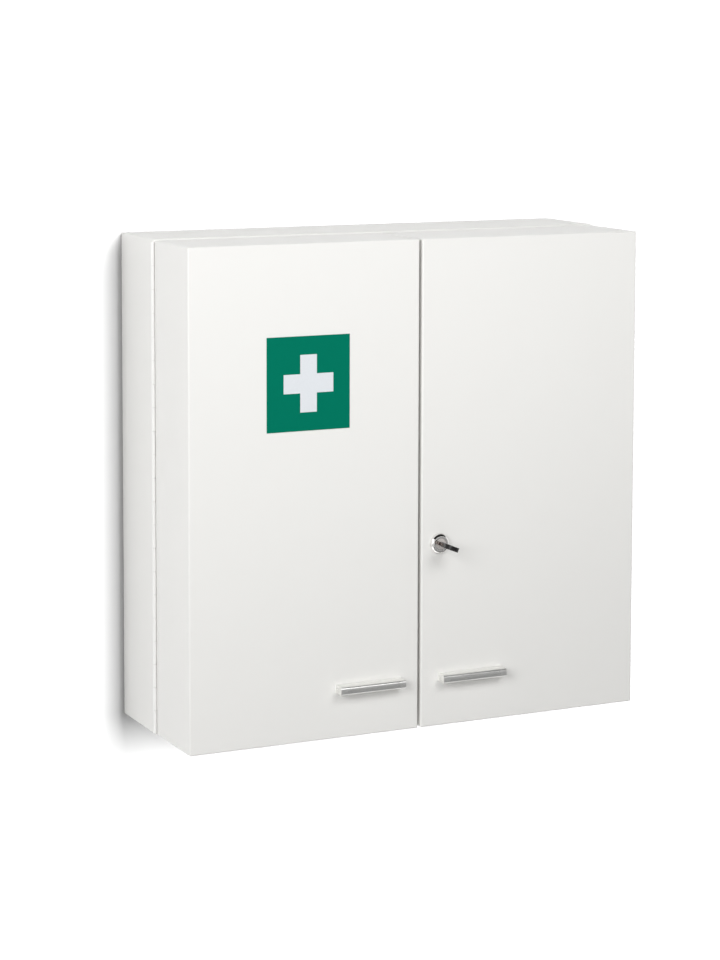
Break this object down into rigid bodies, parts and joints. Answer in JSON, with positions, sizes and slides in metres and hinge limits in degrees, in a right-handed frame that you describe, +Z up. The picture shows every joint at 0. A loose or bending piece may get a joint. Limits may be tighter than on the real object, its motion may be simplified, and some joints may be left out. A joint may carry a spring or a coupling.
{
  "type": "lockable medicine cabinet",
  "caption": "Wall-hung steel medicine cabinet: shallow shelved body, two deep shelved box doors on full-height hinges, bar handles, cam lock with folding key, first-aid cross.",
  "frame": {"origin": "centre of the four wall holes, on the back panel's outer face, at the cabinet's middle", "axes": "+X right as seen from the front, +Y out of the back towards the wall, +Z up; the doors face -Y"},
  "size_m": [0.5568, 0.238, 0.55],
  "materials": {
    "white_paint": "white powder coat, satin",
    "hinge_paint": "white powder coat, satin",
    "inner_paint": "white powder coat, satin",
    "buffer_rubber": "soft, matt",
    "handle_aluminium": "satin anodised",
    "handle_end_pieces": "satin anodised, cut ends",
    "sign_green": "green film, satin",
    "sign_white": "white film, satin",
    "lock_chrome": "polished chrome plate",
    "key_steel": "nickel-plated, worn",
    "key_plastic": "black, fine grain",
    "zinc_steel": "zinc plated"
  },
  "bodies": {
    "body": {"body_shell": "white_paint", "back_panel": "inner_paint", "rail_left_front": "inner_paint", "rail_left_rear": "inner_paint", "rail_right_front": "inner_paint", "rail_right_rear": "inner_paint", "lower_body_shelf": "inner_paint", "upper_body_shelf": "inner_paint", "lower_shelf_clips": "zinc_steel", "upper_shelf_clips": "zinc_steel", "door_buffers": "buffer_rubber", "left_hinge_body_leaf": "hinge_paint", "left_hinge_pin": "zinc_steel", "right_hinge_body_leaf": "hinge_paint", "right_hinge_pin": "zinc_steel"},
    "left_door": {"left_door_shell": "white_paint", "left_hinge_door_leaf": "hinge_paint", "left_lower_tray": "inner_paint", "left_upper_tray": "inner_paint", "left_bottom_rail": "inner_paint", "left_handle_bar": "handle_aluminium", "left_handle_posts": "handle_end_pieces", "left_handle_screws": "zinc_steel", "sign_plate": "sign_green", "sign_cross": "sign_white", "bolt_guide": "zinc_steel", "bolt_rivets": "zinc_steel"},
    "right_door": {"right_door_shell": "white_paint", "right_hinge_door_leaf": "hinge_paint", "right_lower_tray": "inner_paint", "right_upper_tray": "inner_paint", "right_bottom_rail": "inner_paint", "right_handle_bar": "handle_aluminium", "right_handle_posts": "handle_end_pieces", "right_handle_screws": "zinc_steel", "lock_housing": "lock_chrome", "lock_nut": "zinc_steel"},
    "slide_bolt": {"bolt_rod": "zinc_steel"},
    "lock": {"lock_plug": "lock_chrome", "lock_cam": "zinc_steel", "cam_screw": "zinc_steel"},
    "key": {"key_blade": "key_steel", "key_rivet": "key_steel"},
    "grip": {"key_grip": "key_plastic"}
  },
  "joints": [
    {"name": "left_door_hinge", "type": "hinge", "parent": "body", "child": "left_door", "pos_m": [-0.27629, -0.101, 0], "axis": [0, 0, -1], "range_deg": [0, 165]},
    {"name": "right_door_hinge", "type": "hinge", "parent": "body", "child": "right_door", "pos_m": [0.27629, -0.101, 0], "axis": [0, 0, 1], "range_deg": [0, 165]},
    {"name": "lock_turn", "type": "hinge", "parent": "right_door", "child": "lock", "pos_m": [0.0239, -0.2, -0.0666], "axis": [0, -1, 0], "range_deg": [-68, 112]},
    {"name": "key_slide", "type": "slide", "parent": "lock", "child": "key", "axis": [0, -1, 0], "range_m": [0, 0.015]},
    {"name": "key_fold", "type": "hinge", "parent": "key", "child": "grip", "pos_m": [0.0239, -0.2155, -0.0666], "axis": [0.3746, 0, 0.9272], "range_deg": [-90, 90]},
    {"name": "bolt_slide", "type": "slide", "parent": "left_door", "child": "slide_bolt", "axis": [0, 0, 1], "range_m": [0, 0.012]}
  ]
}
